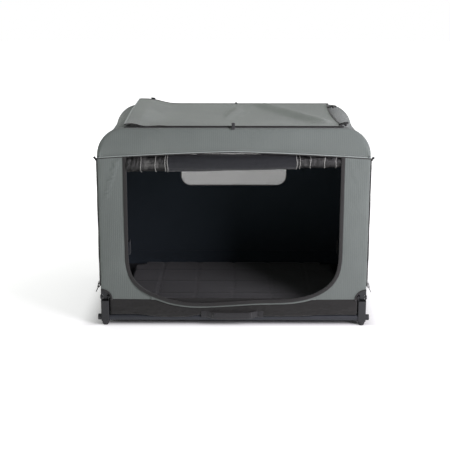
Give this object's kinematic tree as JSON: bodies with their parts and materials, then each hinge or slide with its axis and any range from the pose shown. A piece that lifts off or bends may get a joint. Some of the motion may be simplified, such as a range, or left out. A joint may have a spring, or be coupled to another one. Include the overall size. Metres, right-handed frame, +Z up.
{
  "type": "soft-sided folding dog crate",
  "caption": "Folding fabric dog crate on a tube base frame, with a rolled-up front door, mesh windows, side doors and a zipped roof hatch.",
  "frame": {"origin": "on the floor under the middle of the crate", "axes": "+X to the right along the width, -Y to the front door, +Z up"},
  "size_m": [0.947, 0.6644, 0.7035],
  "materials": {
    "frame_tube": "satin powder coat",
    "moulded_black": "fine moulded texture",
    "foot_rubber": "matt",
    "steel": "dark zinc",
    "black_lining": "coated plain weave",
    "stiff_board": "matt",
    "mat_cover": "quilted plain weave",
    "grey_fabric": "ribbed polyester weave",
    "pale_mesh": "fine open mesh",
    "dark_mesh": "fine open mesh",
    "black_binding": "grosgrain tape and webbing",
    "toggle_plastic": "satin"
  },
  "bodies": {
    "base": {"front_rail": "frame_tube", "rear_rail": "frame_tube", "left_rail": "frame_tube", "right_rail": "frame_tube", "corner_post_front_left": "moulded_black", "corner_post_front_right": "moulded_black", "corner_post_rear_left": "moulded_black", "corner_post_rear_right": "moulded_black", "foot_front_left": "foot_rubber", "foot_front_right": "foot_rubber", "foot_rear_left": "foot_rubber", "foot_rear_right": "foot_rubber", "rail_bolts": "moulded_black", "rail_plugs": "moulded_black", "rail_screws": "steel", "base_pivot_pins": "steel", "floor_tub": "black_lining", "floor_board": "stiff_board", "floor_mat": "mat_cover", "front_panel": "grey_fabric", "door_binding": "black_binding", "rear_panel": "grey_fabric", "rear_window_mesh": "pale_mesh", "left_panel": "grey_fabric", "left_window_mesh": "dark_mesh", "right_panel": "grey_fabric", "right_window_mesh": "dark_mesh", "handle_tabs": "black_binding"},
    "front_legs": {"front_leg_left": "frame_tube", "front_leg_right": "frame_tube", "front_leg_knuckles": "moulded_black", "front_knee_clevises": "moulded_black", "front_knee_pins": "steel"},
    "rear_legs": {"rear_leg_left": "frame_tube", "rear_leg_right": "frame_tube", "rear_leg_knuckles": "moulded_black", "rear_knee_clevises": "moulded_black", "rear_knee_pins": "steel"},
    "front_hoop": {"front_hoop": "frame_tube", "front_knee_tongues": "moulded_black"},
    "rear_hoop": {"rear_hoop": "frame_tube", "rear_knee_tongues": "moulded_black"},
    "roof": {"roof_panel": "grey_fabric", "hatch_mesh": "dark_mesh", "front_header": "grey_fabric", "rear_header": "grey_fabric", "left_header": "grey_fabric", "right_header": "grey_fabric", "left_spreader": "frame_tube", "right_spreader": "frame_tube", "spreader_clips": "moulded_black", "front_door_roll": "dark_mesh", "door_roll_sleeve": "black_binding", "rear_flap_roll": "grey_fabric", "toggles": "toggle_plastic"},
    "hatch": {"hatch_flap": "grey_fabric"},
    "left_flap": {"left_door_flap": "grey_fabric"},
    "right_flap": {"right_door_flap": "grey_fabric"},
    "handle": {"front_handle": "black_binding"},
    "zip_slider": {"hatch_zip_slider": "steel"}
  },
  "joints": [
    {"name": "fold", "type": "hinge", "parent": "base", "child": "front_legs", "pos_m": [0, -0.2955, 0.1], "axis": [-1, 0, 0], "range_deg": [0, 80], "deforming": ["front_panel", "door_binding", "rear_panel", "rear_window_mesh", "left_panel", "left_window_mesh", "right_panel", "right_window_mesh", "left_door_flap", "right_door_flap", "left_header", "right_header", "front_door_roll", "door_roll_sleeve"]},
    {"name": "front_knee", "type": "hinge", "parent": "front_legs", "child": "front_hoop", "pos_m": [0, -0.3025, 0.39125], "axis": [1, 0, 0], "range_deg": [0, 166]},
    {"name": "roof_level", "type": "hinge", "parent": "front_hoop", "child": "roof", "pos_m": [0, -0.2955, 0.6825], "axis": [-1, 0, 0], "range_deg": [0, 83]},
    {"name": "rear_fold", "type": "hinge", "parent": "base", "child": "rear_legs", "pos_m": [0, 0.2955, 0.1], "axis": [1, 0, 0], "range_deg": [0, 83]},
    {"name": "rear_knee", "type": "hinge", "parent": "rear_legs", "child": "rear_hoop", "pos_m": [0, 0.3025, 0.39125], "axis": [-1, 0, 0], "range_deg": [0, 166]},
    {"name": "hatch_lift", "type": "hinge", "parent": "roof", "child": "hatch", "pos_m": [0.368, 0, 0.6953], "axis": [0, 1, 0], "range_deg": [0, 105]},
    {"name": "left_flap_lift", "type": "hinge", "parent": "roof", "child": "left_flap", "pos_m": [-0.4603, 0, 0.5945], "axis": [0, 1, 0], "range_deg": [0, 100]},
    {"name": "right_flap_lift", "type": "hinge", "parent": "roof", "child": "right_flap", "pos_m": [0.4603, 0, 0.5945], "axis": [0, -1, 0], "range_deg": [0, 100]},
    {"name": "handle_lift", "type": "hinge", "parent": "base", "child": "handle", "pos_m": [-0.004, -0.3123, 0.054], "axis": [-1, 0, 0], "range_deg": [0, 80]},
    {"name": "zip_slide", "type": "slide", "parent": "roof", "child": "zip_slider", "axis": [1, 0, 0], "range_m": [0, 0.63]}
  ],
  "couplings": [
    {"joint": "front_knee", "follows": "fold", "ratio": 2},
    {"joint": "roof_level", "follows": "fold", "ratio": 1},
    {"joint": "rear_fold", "follows": "fold", "ratio": 1},
    {"joint": "rear_knee", "follows": "fold", "ratio": 2}
  ]
}
